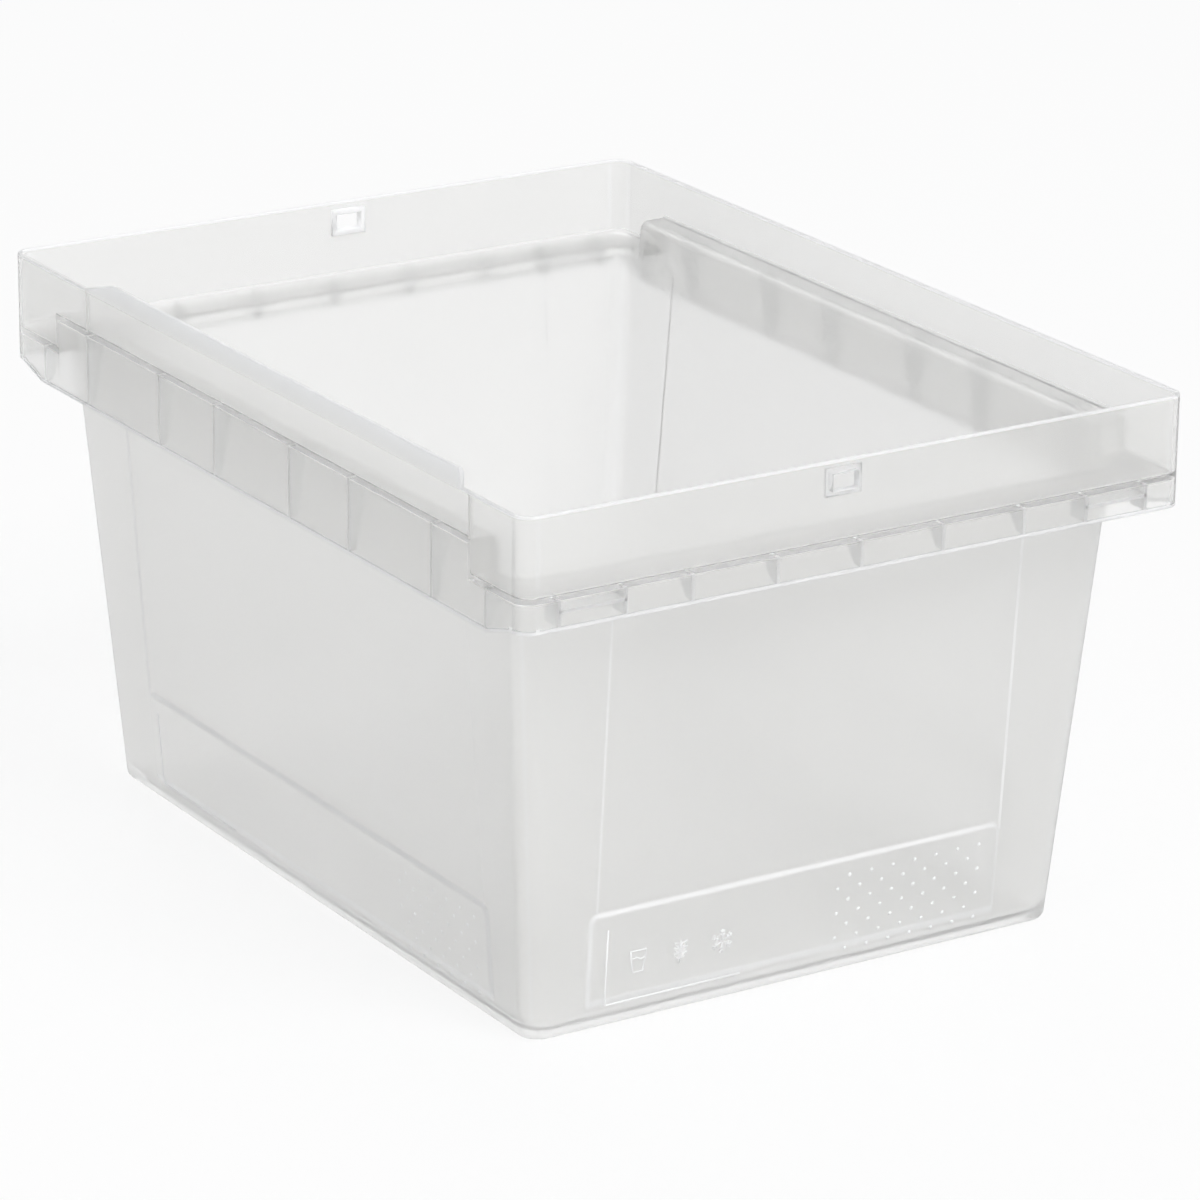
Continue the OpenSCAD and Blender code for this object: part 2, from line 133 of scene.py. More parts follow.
# Camera: turn, height and roll in degrees, distance and shifts in metres, focal length in pixels
CAM_TURN, CAM_HEIGHT, CAM_ROLL = -32.437, 19.437, 0.676
CAM_BACK, CAM_RIGHT, CAM_UP = 3.01249, 0.01372, -0.14915
FOCAL_PX, FRAME_PX, SENSOR_MM = 5660.87, 1200, 36.0


def tub_half(z):
    return BASE_HW + z * math.tan(DRAFT_LONG), BASE_HL + z * math.tan(DRAFT_SHORT)


# The stations round the perimeter. A station's s holds true on the rim. Past
# SAFE it is drawn in with the ring, so that the tub's shorter sides hold it too.
# Near the ledge the long sides hold it as far as SAFE_HIGH.
SAFE = (140.0, 200.0)
SAFE_HIGH = (140.0, 222.0)
TANGENT = (HALF_W - BAND_R, HALF_L - BAND_R)
CORNER_STEPS = 10
CORNER_LINE = 0.9


def side_point(side, s, n, z):
    """A point at s along a side and n out from the middle of the bin."""
    return ((s, -n, z), (n, s, z), (-s, n, z), (-n, -s, z))[side]


def panel_span(side):
    if side % 2 == 0:
        return -BASE_HW + MARGIN_LEFT, BASE_HW - MARGIN_RIGHT_SHORT
    return -BASE_HL + MARGIN_RIGHT_LONG, BASE_HL - MARGIN_LEFT


def field_span(side):
    """The field stops short of the panel's end next to the front left or rear right corner."""
    x0, x1 = panel_span(side)
    return (x0 + FIELD_IN, x1) if side % 2 == 0 else (x0, x1 - FIELD_IN)


def side_stations(side):
    """Where the mesh of one side needs a column."""
    long_side = side % 2
    x0, x1 = panel_span(side)
    s = [x0 - 0.6, x1 + 0.6]
    s += [x0 + f for f in EDGE_STEPS] + [x1 - f for f in EDGE_STEPS]
    for f in field_span(side):
        s += [f - FIELD_EDGE, f - FIELD_EDGE / 2, f, f + FIELD_EDGE / 2, f + FIELD_EDGE]
    s += list(np.linspace(x0 + 14, x1 - 14, 25 if long_side else 17))
    t = TANGENT[long_side]
    s += [-t, -t + CORNER_LINE, t - CORNER_LINE, t]
    if long_side:
        flat, under_step = HALF_L - SKIRT_END, STEP - LEDGE_T
        for e in (-1, 1):
            s += [e * v for v in (flat - 1.5, flat, flat + 1.5)]
            s += [e * (flat + SKIRT_SLOPE - v) for v in (1.5, 0.3)]
            s += [e * (under_step + v) for v in (-0.6, -0.1, 0.1)]
            s += [e * v for v in (204.0, STEP - 0.6, STEP - 0.2, STEP, STEP + 0.6)]
        step, foot = HALF_L - LIP_FRONT, HALF_L - LIP_REAR
        s += [step, step - 0.02, step - LIP_BEVEL, step - LIP_BEVEL - 1]
        s += [-foot, -foot + 1, -foot + LIP_RAMP - 1, -foot + LIP_RAMP]
    else:
        for e in (SLOT_W / 2, SLOT_W / 2 + FRAME_W):
            s += [-SLOT_SHIFT - e, -SLOT_SHIFT + e]
        s += [-165.0, 165.0, -178.0, 178.0]
    s = sorted(s)
    keep = [s[0]]
    for v in s[1:]:
        if v - keep[-1] > 0.015:
            keep.append(v)
    return keep


STATIONS = []
for side in range(4):
    for v in side_stations(side):
        STATIONS.append(("side", side, v))
    for k in range(1, CORNER_STEPS):
        STATIONS.append(("corner", side, 90.0 * k / CORNER_STEPS))


def ring(a, b, r, safe_ends=SAFE):
    """Plan points of a rounded rectangle, one for each station.

    Its half sizes a and b can be numbers or one value for each station.
    """
    out = np.zeros((len(STATIONS), 2))
    many_a, many_b = (np.broadcast_to(np.asarray(v, float), (len(STATIONS),)) for v in (a, b))
    for i, (kind, side, v) in enumerate(STATIONS):
        a, b = many_a[i], many_b[i]
        if kind == "side":
            long_side = side % 2
            half, n = (b, a) if long_side else (a, b)
            t, safe, full = half - r, safe_ends[long_side], TANGENT[long_side]
            if abs(v) > safe:
                v = math.copysign(safe + (abs(v) - safe) * (t - safe) / (full - safe), v)
            out[i] = side_point(side, v, n, 0)[:2]
        else:
            cx, cy = ((a - r, -b + r), (a - r, b - r), (-a + r, b - r), (-a + r, -b + r))[side]
            ang = math.radians(-90 + 90 * side + v)
            out[i] = (cx + r * math.cos(ang), cy + r * math.sin(ang))
    return out


def lip_rise(side, s):
    """How far the left band's top edge stands above the level rim."""
    if side != LEFT:
        return 0.0
    step, foot = HALF_L - LIP_FRONT, HALF_L - LIP_REAR
    return float(np.interp(s, [-foot, -foot + LIP_RAMP, step - LIP_BEVEL, step - 0.02, step],
                           [0, LIP_H, LIP_H, LIP_H - LIP_BEVEL, 0], left=0, right=0))


def skirt_low(side, s):
    """Height of the skirt's lower edge."""
    if side % 2 == 0:
        return LOW_SHORT
    flat = HALF_L - SKIRT_END
    return float(np.interp(abs(s), [flat, flat + SKIRT_SLOPE], [LOW_LONG, LOW_SHORT]))


def raised(reach):
    """The ledge's rise at each station, where a long side's raised part reaches to s = reach."""
    return np.array([LEDGE_RISE if kind == "side" and side % 2 and abs(v) < reach else 0.0
                     for kind, side, v in STATIONS])


LIP = np.array([lip_rise(side, v) if kind == "side" else 0.0 for kind, side, v in STATIONS])
LOW = np.array([skirt_low(side, v) if kind == "side" else LOW_SHORT for kind, side, v in STATIONS])
TOP_RISE, LOW_RISE = raised(STEP - 0.01), raised(STEP - LEDGE_T)

# The thin painted highlight line up each corner: at the ends of the band's arc and in the middle of
# the tub's
CORNER_HIGHLIGHT = 0.7
BAND_CORNER_HIGHLIGHT = np.array([CORNER_HIGHLIGHT * (kind == "side" and abs(abs(v) - TANGENT[side % 2]) < 0.1)
                      for kind, side, v in STATIONS])
TUB_CORNER_HIGHLIGHT = np.array([CORNER_HIGHLIGHT * (kind == "corner" and abs(v - 45) < 0.1)
                     for kind, side, v in STATIONS])


def smooth_step(x):
    x = np.clip(x, 0, 1)
    return x * x * (3 - 2 * x)


def wall_relief(side, s, y):
    """How far a wall's outside stands off its drafted plane, at s and at y up the slope.

    The second value, a painted highlight share, runs from 0 on a flat to 1 on the steepest part of
    a moulded edge.
    """
    x0, x1 = field_span(side)
    inside = min(s - x0, x1 - s)
    up = smooth_step((y - PANEL_H + PANEL_R) / FIELD_TOP_EDGE)
    up *= smooth_step((WALL_TOP + FIELD_TOP_EDGE - y) / FIELD_TOP_EDGE)
    share = smooth_step((inside + FIELD_EDGE) / (2 * FIELD_EDGE)) * up
    level = -FIELD_DEPTH * share
    slope = 3.6 * share * (1 - share)
    x0, x1 = panel_span(side)
    inside = min(s - x0, x1 - s)
    low = PAN_H + 0.2
    if not (low < y < PANEL_H) or inside <= 0:
        return float(level), float(slope)
    depth = min(inside, PANEL_H - y)
    if inside < PANEL_R and PANEL_H - y < PANEL_R:
        depth = PANEL_R - math.hypot(PANEL_R - inside, PANEL_R - (PANEL_H - y))
    share = smooth_step(depth / PANEL_SLOPE) * smooth_step((y - low) / (2.5 * PANEL_SLOPE))
    return float(level + (PANEL_PROUD - level) * share), float(4 * share * (1 - share))


class Skin:
    """The moulding's closed surface as rings of one point for each station."""

    def __init__(self):
        self.points, self.region, self.pale = [], [], []

    def add(self, a, b, r, z, region, relief=False, pale=0.0):
        """Adds a ring of half sizes a and b and corner radius r at height z.

        z can be a number or one value for each station. region names the strip between the
        ring before and this one. The last argument says how much painted highlight the ring gets,
        whitening it like a moulded edge that catches the light.
        """
        z = np.broadcast_to(np.asarray(z, float), (len(STATIONS),))
        plan = ring(a, b, r, SAFE_HIGH if z.min() > 245 else SAFE)
        co = np.column_stack([plan, z])
        # The corners' thin lines of painted highlight.
        line = BAND_CORNER_HIGHLIGHT if region in ("band", "rim") else TUB_CORNER_HIGHLIGHT if relief else 0.0
        pale = np.maximum(np.full(len(STATIONS), float(pale)), line)
        if relief:
            for i, (kind, side, v) in enumerate(STATIONS):
                if kind == "side":
                    draft = DRAFT_LONG if side % 2 else DRAFT_SHORT
                    h, slope = wall_relief(side, v, z[i] / math.cos(draft))
                    # The steep parts of the field's and panel's edges get painted highlight.
                    pale[i] = max(pale[i], slope)
                    if h:
                        nx, ny, nz = side_point(side, 0, math.cos(draft), -math.sin(draft))
                        co[i] += (h * nx, h * ny, h * nz)
        self.points.append(co)
        self.region.append(region)
        self.pale.append(pale)


def quarter(steps):
    """Angles from 0 to 90 degrees."""
    return [math.radians(90 * k / steps) for k in range(steps + 1)]


def add_inside(skin):
    """From the floor up the wall, and over the mouth to the ledge and the foot of the band."""
    inner_r = TUB_R - WALL_T
    rise = PAN_H - FLOOR_TOP
    for t in quarter(6):
        z = FLOOR_TOP + rise * (1 - math.cos(t))
        inset = WALL_T + rise * (1 - math.sin(t))
        a, b = tub_half(z)
        skin.add(a - inset, b - inset, inner_r, z, "base_pan")
    for z in (60.0, 120.0, 180.0, 240.0, WALL_TOP):
        a, b = tub_half(z)
        skin.add(a - WALL_T, b - WALL_T, inner_r, z, "wall")
    for t in [math.radians(4)] + quarter(6)[1:]:
        z = WALL_TOP + MOUTH_R * math.sin(t) + TOP_RISE
        out = MOUTH_R * (1 - math.cos(t))
        a, b = tub_half(z)
        skin.add(a - WALL_T + out, b - WALL_T + out, inner_r + out, z, "ledge")
    a, b, r = BAND_INSIDE
    for t in quarter(6):
        d = BAND_FILLET * (1 - math.sin(t))
        z = LEDGE_TOP + BAND_FILLET * (1 - math.cos(t)) + TOP_RISE
        skin.add(a - d, b - d, r - d * 0.5, z, "ledge")


def add_band(skin):
    """Up the inside of the band, over the rounded top and down to the skirt's lower edge."""
    below_edge = RIM_H - RIM_EDGE - 0.3
    slot_rows = (SLOT_LOW - FRAME_W, SLOT_LOW, SLOT_HIGH, SLOT_HIGH + FRAME_W)
    a, b, r = BAND_INSIDE
    skin.add(a, b, r, LEDGE_TOP + 5.5 + 0.85 * TOP_RISE, "band")
    for z in slot_rows + (below_edge,):
        skin.add(a, b, r, z, "band")
    # The rounded top of the rim gets full painted highlight.
    for t in quarter(4):
        d = RIM_EDGE * (1 - math.cos(t))
        z = RIM_H + LIP - RIM_EDGE + RIM_EDGE * math.sin(t)
        skin.add(a + d, b + d, r + d, z, "rim", pale=1.0)
    a, b, r = BAND_OUTSIDE
    for t in quarter(4):
        d = RIM_EDGE * (1 - math.sin(t))
        z = RIM_H + LIP - RIM_EDGE + RIM_EDGE * math.cos(t)
        skin.add(a - d, b - d, r - d, z, "rim", pale=1.0)
    skin.add(a, b, r, below_edge, "rim")
    for z in slot_rows[::-1] + (LEDGE_TOP, LEDGE_LOW, LOW + 3.4):
        skin.add(a, b, r, z, "band")
    # The skirt's lower edge gets painted highlight.
    skin.add(a, b, r, LOW + 1.8, "band", pale=0.7)
    for t in quarter(3):
        d = SKIRT_EDGE * (1 - math.cos(t))
        skin.add(a - d, b - d, r - d, LOW + SKIRT_EDGE * (1 - math.sin(t)), "band", pale=1.0)


def add_bead(skin):
    """The thicker run along the inside of the skirt's lower edge."""
    a, b, r = BAND_OUTSIDE
    bead = BAND_T + BEAD_IN
    # The bead's rings get painted highlight.
    for t in quarter(2):
        d = bead - BEAD_EDGE * (1 - math.sin(t))
        skin.add(a - d, b - d, r - d, LOW + BEAD_EDGE * (1 - math.cos(t)), "band", pale=1.0)
    skin.add(a - bead, b - bead, r - bead, LOW + BEAD_H - BEAD_EDGE, "band", pale=1.0)
    d = bead - BEAD_EDGE
    skin.add(a - d, b - d, r - d, LOW + BEAD_H, "band", pale=1.0)
    a, b, r = BAND_INSIDE
    skin.add(a - 0.3, b - 0.3, r, LOW + BEAD_H, "band", pale=0.6)
    skin.add(a, b, r, LOW + BEAD_H + 0.3, "band")


def add_underside(skin):
    """Under the ledge and in to the tub."""
    a, b, r = BAND_INSIDE
    for t in quarter(3):
        d = UNDER_EDGE * (1 - math.cos(t))
        z = LEDGE_LOW - UNDER_EDGE + UNDER_EDGE * math.sin(t) + LOW_RISE
        skin.add(a - d, b - d, r - d * 0.5, z, "ledge" if t else "band")
    for t in quarter(4):
        out = UNDER_FILLET * (1 - math.sin(t))
        z = LEDGE_LOW - UNDER_FILLET * (1 - math.cos(t)) + LOW_RISE
        ta, tb = tub_half(z)
        skin.add(ta + out, tb + out, TUB_R + out, z, "ledge")
    ta, tb = tub_half(WALL_TOP)
    skin.add(ta, tb, TUB_R, WALL_TOP, "ledge")


def add_outside(skin):
    """Down the outside of the wall, with its field and lower panel, and round to the foot."""
    heights = [WALL_TOP - 0.7, 247.0, 235.0, 200.0, 150.0, 100.0, 75.0, 68.5, 66.8]
    heights += [PANEL_H - f for f in EDGE_STEPS]
    heights += [50.0, 40.0, 30.0, 22.0, 18.0, 16.0, 14.5, 13.2, 12.2, PAN_H + 0.2]
    for y in heights:
        ta, tb = tub_half(y)
        skin.add(ta, tb, TUB_R, y, "wall", relief=True)
    ta, tb = tub_half(PAN_H)
    skin.add(ta, tb, TUB_R, PAN_H, "wall")
    # The rounded foot gets a little painted highlight.
    for t in reversed(quarter(6)):
        inset = BASE_R * (1 - math.sin(t))
        z = BASE_R * (1 - math.cos(t))
        ta, tb = tub_half(z)
        skin.add(ta - inset, tb - inset, TUB_R - inset, z, "base_pan", pale=0.3)
    # The foot's flat and its inner side
    ia, ib = BASE_HW - BASE_R - FOOT_W, BASE_HL - BASE_R - FOOT_W
    skin.add(ia + 0.4, ib + 0.4, FOOT_R + 0.4, 0.0, "base_pan")
    skin.add(ia, ib, FOOT_R, 0.4, "base_pan")
    skin.add(ia, ib, FOOT_R, FOOT_H - 0.6, "base_pan")
    skin.add(ia - 0.6, ib - 0.6, FOOT_R - 0.3, FOOT_H, "base_pan")


def build_skin():
    skin = Skin()
    for add in (add_inside, add_band, add_bead, add_underside, add_outside):
        add(skin)
    return skin


def strip_side(i):
    """The side that the strip after station i belongs to. Corners split at their middle."""
    kind, side, v = STATIONS[i]
    if kind == "side":
        return side
    return side if v < 45 - 1e-6 else (side + 1) % 4


def in_slot(i, j, z, grow):
    """Whether the band's strip between stations i and j at height z lies in a slot's hole."""
    (kind, side, s), (next_kind, _, next_s) = STATIONS[i], STATIONS[j]
    if kind != "side" or next_kind != "side" or side % 2:
        return False
    across = abs((s + next_s) / 2 + SLOT_SHIFT)
    return across < SLOT_W / 2 + grow and SLOT_LOW - grow < z < SLOT_HIGH + grow


def skin_faces(skin):
    """Quads of the whole skin, wound outward, with the name of the region each belongs to."""
    n = len(STATIONS)
    faces, names = [], []
    for row in range(1, len(skin.points)):
        mid_z = (skin.points[row - 1][0][2] + skin.points[row][0][2]) / 2
        inner = abs(skin.points[row][0][1] + HALF_L - BAND_T) < 1e-6
        for i in range(n):
            j = (i + 1) % n
            if skin.region[row] == "band" and in_slot(i, j, mid_z, FRAME_W if inner else 0.0):
                continue
            faces.append((row * n + i, row * n + j, (row - 1) * n + j, (row - 1) * n + i))
            region = skin.region[row]
            if region == "rim":
                region = "lip" if LIP[i] or LIP[j] else "band"
            names.append(region if region == "base_pan" else f"{SIDES[strip_side(i)]}_{region}")
    last = (len(skin.points) - 1) * n
    faces.append(tuple(range(n)))
    names.append("base_pan")
    faces.append(tuple(last + n - 1 - i for i in range(n)))
    names.append("base_pan")
    return faces, names


def point_normals(points, faces):
    """Area-weighted normals, so that large flats stay flat beside their rounded edges."""
    normals = np.zeros_like(points)
    for f in faces:
        p = points[list(f)]
        area = np.cross(p - p[0], np.roll(p, -1, 0) - p[0]).sum(0)
        for v in f:
            normals[v] += area
    return normals / np.maximum(np.linalg.norm(normals, axis=1)[:, None], 1e-12)


def mesh_object(name, points, faces, normals=None, pale=0.0):
    """A shown mesh object. points are millimetres in the row frame, and the last argument is the
    painted highlight share, as in Skin.add.
    """
    mesh = bpy.data.meshes.new(name)
    mesh.from_pydata([tuple(p) for p in np.asarray(points, float) * MM], [], faces)
    mesh.validate()
    mesh.shade_smooth()
    if normals is not None:
        mesh.normals_split_custom_set_from_vertices([tuple(n) for n in normals])
    # The painted highlight share rides on the mesh for the material.
    mask = mesh.attributes.new("painted_highlight", "FLOAT", "POINT")
    shares = np.broadcast_to(np.asarray(pale, np.float32), (len(mesh.vertices),))
    mask.data.foreach_set("value", shares.copy())
    obj = bpy.data.objects.new(name, mesh)
    bpy.context.scene.collection.objects.link(obj)
    return obj


def dress(obj, material, *nodes):
    """Gives a piece its material and body, and hides the CAD nodes that it stands for."""
    obj.data.materials.clear()
    obj.data.materials.append(material)
    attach(obj, "root")
    if nodes:
        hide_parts(*nodes)
    return obj


def skin_pieces(tub_finish, band_finish, highlight_finish):
    """One object for each region of the skin, with the painted highlight finish where the highlight
    share is high.
    """
    skin = build_skin()
    points, pale = np.concatenate(skin.points), np.concatenate(skin.pale)
    faces, names = skin_faces(skin)
    normals = point_normals(points, faces)
    for region in dict.fromkeys(names):
        own = [f for f, name in zip(faces, names) if name == region]
        used = sorted({v for f in own for v in f})
        index = {v: k for k, v in enumerate(used)}
        obj = mesh_object(region + "_skin", points[used], [tuple(index[v] for v in f) for f in own],
                          normals[used], pale[used])
        dress(obj, band_finish if region.endswith(("band", "lip")) else tub_finish, region)
        obj.data.materials.append(highlight_finish)
        # Faces with a high painted highlight share take the highlight finish.
        whiter = [int(float(np.mean(pale[list(f)])) > HIGHLIGHT_FINISH_FROM) for f in own]
        obj.data.polygons.foreach_set("material_index", whiter)


# Small solids behind the skirt and on the band


def bevelled(obj, width, segments=2):
    mod = obj.modifiers.new("soft_edges", "BEVEL")
    mod.width = width * MM
    mod.segments = segments
    mod.limit_method = "ANGLE"
    mod.angle_limit = math.radians(35)
    mod.harden_normals = True
    return obj


def prism(side, s0, s1, outline):
    """Points and faces of a slab from s0 to s1 along a side. outline is (n, z) pairs."""
    k = len(outline)
    points = [side_point(side, s, n, z) for s in (s0, s1) for n, z in outline]
    faces = [tuple(range(k)), tuple(2 * k - 1 - i for i in range(k))]
    faces += [(i, k + i, k + (i + 1) % k, (i + 1) % k) for i in range(k)]
    return points, faces


def joined(parts):
    """One list of points and one of faces from several solids."""
    points, faces = [], []
    for p, f in parts:
        base = len(points)
        points += list(p)
        faces += [tuple(base + v for v in face) for face in f]
    return points, faces


def outward(points, faces):
    """Turns each closed solid's faces outward, by the sign of its volume."""
    p = np.array(points)
    volume = 0.0
    for f in faces:
        for k in range(1, len(f) - 1):
            volume += np.dot(p[f[0]], np.cross(p[f[k]], p[f[k + 1]]))
    return points, [tuple(reversed(f)) for f in faces] if volume < 0 else faces


def web(side, s, face, low, foot, high, depth):
    """One tapered web at s, from foot deep at the skirt's bead to depth deep under the ledge."""
    outline = [(face + SINK, low - SINK), (face - foot, low - SINK),
               (face - depth, high + SINK), (face + SINK, high + SINK)]
    return outward(*prism(side, s - WEB_T / 2, s + WEB_T / 2, outline))


def webs(side):
    parts = []
    if side % 2:
        face, low = HALF_W - BAND_T, LOW_LONG + BEAD_H
        for p in (WEB_INNER, WEB_OUTER, HALF_L - LIP_REAR, HALF_L - SKIRT_END - WEB_END):
            high = HIGH_LOW if p < STEP - LEDGE_T else LEDGE_LOW
            depth = face - tub_half(high)[0] - WEB_CLEAR_LONG
            parts += [web(side, e * p, face, low, WEB_FOOT_LONG, high, depth) for e in (-1, 1)]
    else:
        face, low = HALF_L - BAND_T, LOW_SHORT + BEAD_H
        depth = OVERHANG_SHORT - BAND_T - WEB_CLEAR_SHORT
        for k in range(-WEB_COUNT, WEB_COUNT + 1):
            parts.append(web(side, k * WEB_PITCH, face, low, WEB_FOOT, LEDGE_LOW, depth))
    return joined(parts)


def pockets(side):
    """Near each corner of a short side, two webs with a shelf between them."""
    low, shelf = LOW_SHORT + BEAD_H, LEDGE_LOW - POCKET_DROP
    face = HALF_L - BAND_T
    parts = []
    for e in (-1, 1):
        near = e * (HALF_W - POCKET_NEAR)
        far = near - e * POCKET_W
        for s0, s1 in ((near, near - e * WEB_T), (far + e * WEB_T, far)):
            box = [(face + SINK, low - SINK), (face - POCKET_IN, low - SINK),
                   (face - POCKET_IN, LEDGE_LOW + SINK), (face + SINK, LEDGE_LOW + SINK)]
            parts.append(outward(*prism(side, min(s0, s1), max(s0, s1), box)))
        box = [(face + SINK, shelf), (face - POCKET_IN + 0.3, shelf),
               (face - POCKET_IN + 0.3, shelf + WEB_T), (face + SINK, shelf + WEB_T)]
        parts.append(outward(*prism(side, min(near, far) + 0.3, max(near, far) - 0.3, box)))
    return joined(parts)


def ribs():
    """The two upright ribs on the inside of the left band, below the lip's ends."""
    face = HALF_W - BAND_T
    box = [(face + SINK, HIGH_TOP - SINK), (face - RIB_IN, HIGH_TOP - SINK),
           (face - RIB_IN, RIM_H - RIB_GAP), (face + SINK, RIM_H - RIB_GAP)]
    places = (STEP - WEB_T / 2, -(HALF_L - LIP_REAR))
    return joined([outward(*prism(LEFT, s - WEB_T / 2, s + WEB_T / 2, box)) for s in places])


def slot_frame(side):
    """The thickened border and the slot's lining, open where it joins the band."""
    z = RIM_H - SLOT_DOWN
    w, h = SLOT_W / 2, SLOT_H / 2
    face, front, c = HALF_L - BAND_T, HALF_L - BAND_T - FRAME_IN, 0.5
    loops = [(w + FRAME_W, h + FRAME_W, face), (w + FRAME_W, h + FRAME_W, front + c),
             (w + FRAME_W - c, h + FRAME_W - c, front), (w + c, h + c, front),
             (w, h, front + c), (w, h, HALF_L)]
    points, faces = [], []
    for lw, lh, n in loops:
        points += [side_point(side, -SLOT_SHIFT + sx * lw, n, z + sz * lh)
                   for sx, sz in ((-1, -1), (1, -1), (1, 1), (-1, 1))]
    for k in range(len(loops) - 1):
        for i in range(4):
            j = (i + 1) % 4
            faces.append((4 * k + i, 4 * (k + 1) + i, 4 * (k + 1) + j, 4 * k + j))
    return points, faces


# Raised marks on the lower panels


def on_panel(side, s, y, h):
    """A point at s and y up the slope of a wall, h above the lower panel's face."""
    draft = DRAFT_LONG if side % 2 else DRAFT_SHORT
    base = BASE_HW if side % 2 else BASE_HL
    out = PANEL_PROUD + h
    return side_point(side, s, base + y * math.sin(draft) + out * math.cos(draft),
                      y * math.cos(draft) - out * math.sin(draft))


def dot_places(side):
    """Staggered rows at the right end of a lower panel."""
    x1 = panel_span(side)[1]
    columns = 7 if side % 2 == 0 else 6
    out = []
    for row in range(DOT_ROWS):
        y = DOT_TOP - DOT_RISE * row
        for k in range(columns):
            out.append((x1 - DOT_END - DOT_PITCH / 2 * (row % 2) - DOT_PITCH * k, y))
    return out


def dots(side):
    """Low domes, each of a few rings and a point at its top."""
    rings, around = 3, 12
    points, faces = [], []
    for s, y in dot_places(side):
        base = len(points)
        for t in quarter(rings)[:-1]:
            r, h = DOT_RADIUS * math.cos(t), DOT_HEIGHT * math.sin(t) - DOT_SINK
            for i in range(around):
                a = 2 * math.pi * i / around
                points.append(on_panel(side, s + r * math.cos(a), y + r * math.sin(a), h))
        points.append(on_panel(side, s, y, DOT_HEIGHT - DOT_SINK))
        for k in range(rings - 1):
            for i in range(around):
                j = (i + 1) % around
                faces.append((base + k * around + i, base + k * around + j,
                              base + (k + 1) * around + j, base + (k + 1) * around + i))
        last, top = base + (rings - 1) * around, base + rings * around
        for i in range(around):
            faces.append((last + i, last + (i + 1) % around, top))
    return points, faces


def stroke(side, path, width, closed=False):
    """A raised line with sloped sides along a path of (s, y) points on a lower panel."""
    section = ((-0.5, -MARK_SINK), (-0.25, MARK_HEIGHT), (0.25, MARK_HEIGHT), (0.5, -MARK_SINK))
    path = [np.array(p, float) for p in path]
    n = len(path)
    points, faces = [], []
    for k in range(n):
        prev = path[k - 1] if k or closed else None
        nxt = path[(k + 1) % n] if k < n - 1 or closed else None
        d0 = (path[k] - prev) if prev is not None else (nxt - path[k])
        d1 = (nxt - path[k]) if nxt is not None else d0
        d0, d1 = d0 / np.linalg.norm(d0), d1 / np.linalg.norm(d1)
        t = d0 + d1
        t = t / max(np.linalg.norm(t), 1e-9)
        m = np.array((-t[1], t[0]))
        grow = 1 / max(0.5, abs(np.dot(m, (-d1[1], d1[0]))))
        for off, h in section:
            q = path[k] + m * off * width * grow
            points.append(on_panel(side, q[0], q[1], h))
    last = n if closed else n - 1
    for k in range(last):
        a, b = 4 * k, 4 * ((k + 1) % n)
        for i in range(3):
            faces.append((a + i, b + i, b + i + 1, a + i + 1))
    if not closed:
        faces.append((0, 1, 2, 3))
        faces.append((4 * n - 1, 4 * n - 2, 4 * n - 3, 4 * n - 4))
    return points, faces


def corner_line(side):
    """The thin raised line down a panel's left end and along its foot."""
    s, foot, turn = panel_span(side)[0] + LINE_IN, LINE_FOOT, LINE_TURN
    path = [(s, LINE_TOP), (s, foot + turn), (s + turn, foot), (s + LINE_RUN, foot)]
    return stroke(side, path, LINE_W)


def shifted(path, at):
    return [(at[0] + x, at[1] + y) for x, y in path]


def tumbler(side, at):
    cup = [(-4.6, 6), (-3.2, -6), (3.2, -6), (4.6, 6)]
    water = [(-4.0, 1.5), (-1.4, 2.3), (1.4, 0.9), (4.0, 1.7)]
    return [stroke(side, shifted(cup, at), 0.8, closed=True), stroke(side, shifted(water, at), 0.7)]


def leaf_sprig(side, at):
    parts = [stroke(side, shifted([(0, -6.5), (0, 6)], at), 0.7)]
    for e in (-1, 1):
        for up in (-2.6, 0.6, 3.6):
            leaf = [(0, up - 1.6), (e * 2.4, up - 0.9), (e * 3.8, up + 1.6), (e * 1.2, up + 1.1)]
            parts.append(stroke(side, shifted(leaf, at), 0.6, closed=True))
    return parts


def star(side, at):
    """Six arms, each with two small barbs."""
    parts = []
    o = np.array(at)
    for k in range(6):
        a = math.radians(90 + 60 * k)
        u, v = np.array((math.cos(a), math.sin(a))), np.array((-math.sin(a), math.cos(a)))
        parts.append(stroke(side, [o + u * 0.7, o + u * 6.8], 0.7))
        for root in (3.0, 4.9):
            tip = o + u * (root + 1.3)
            parts.append(stroke(side, [tip + v * 1.5, o + u * root, tip - v * 1.5], 0.6))
    return parts


def signs(side):
    """Three plain signs: a tumbler, a leaf sprig and a six-armed star."""
    x0 = panel_span(side)[0]
    parts = []
    for make, at in ((tumbler, TUMBLER_AT), (leaf_sprig, LEAF_AT), (star, STAR_AT)):
        parts += make(side, (x0 + at, SIGN_UP))
    return joined(parts)


# Shader groups


def new_group(name, inputs, outputs):
    tree = bpy.data.node_groups.new(name, "ShaderNodeTree")
    for label, kind, value in inputs:
        sock = tree.interface.new_socket(label, in_out="INPUT", socket_type=kind)
        sock.default_value = value
    for label, kind in outputs:
        tree.interface.new_socket(label, in_out="OUTPUT", socket_type=kind)
    return tree, tree.nodes.new("NodeGroupInput"), tree.nodes.new("NodeGroupOutput")


def add_node(tree, kind, place=(0, 0), **values):
    node = tree.nodes.new(kind)
    node.location = place
    for key, value in values.items():
        if hasattr(node, key):
            setattr(node, key, value)
        else:
            node.inputs[key].default_value = value
    return node


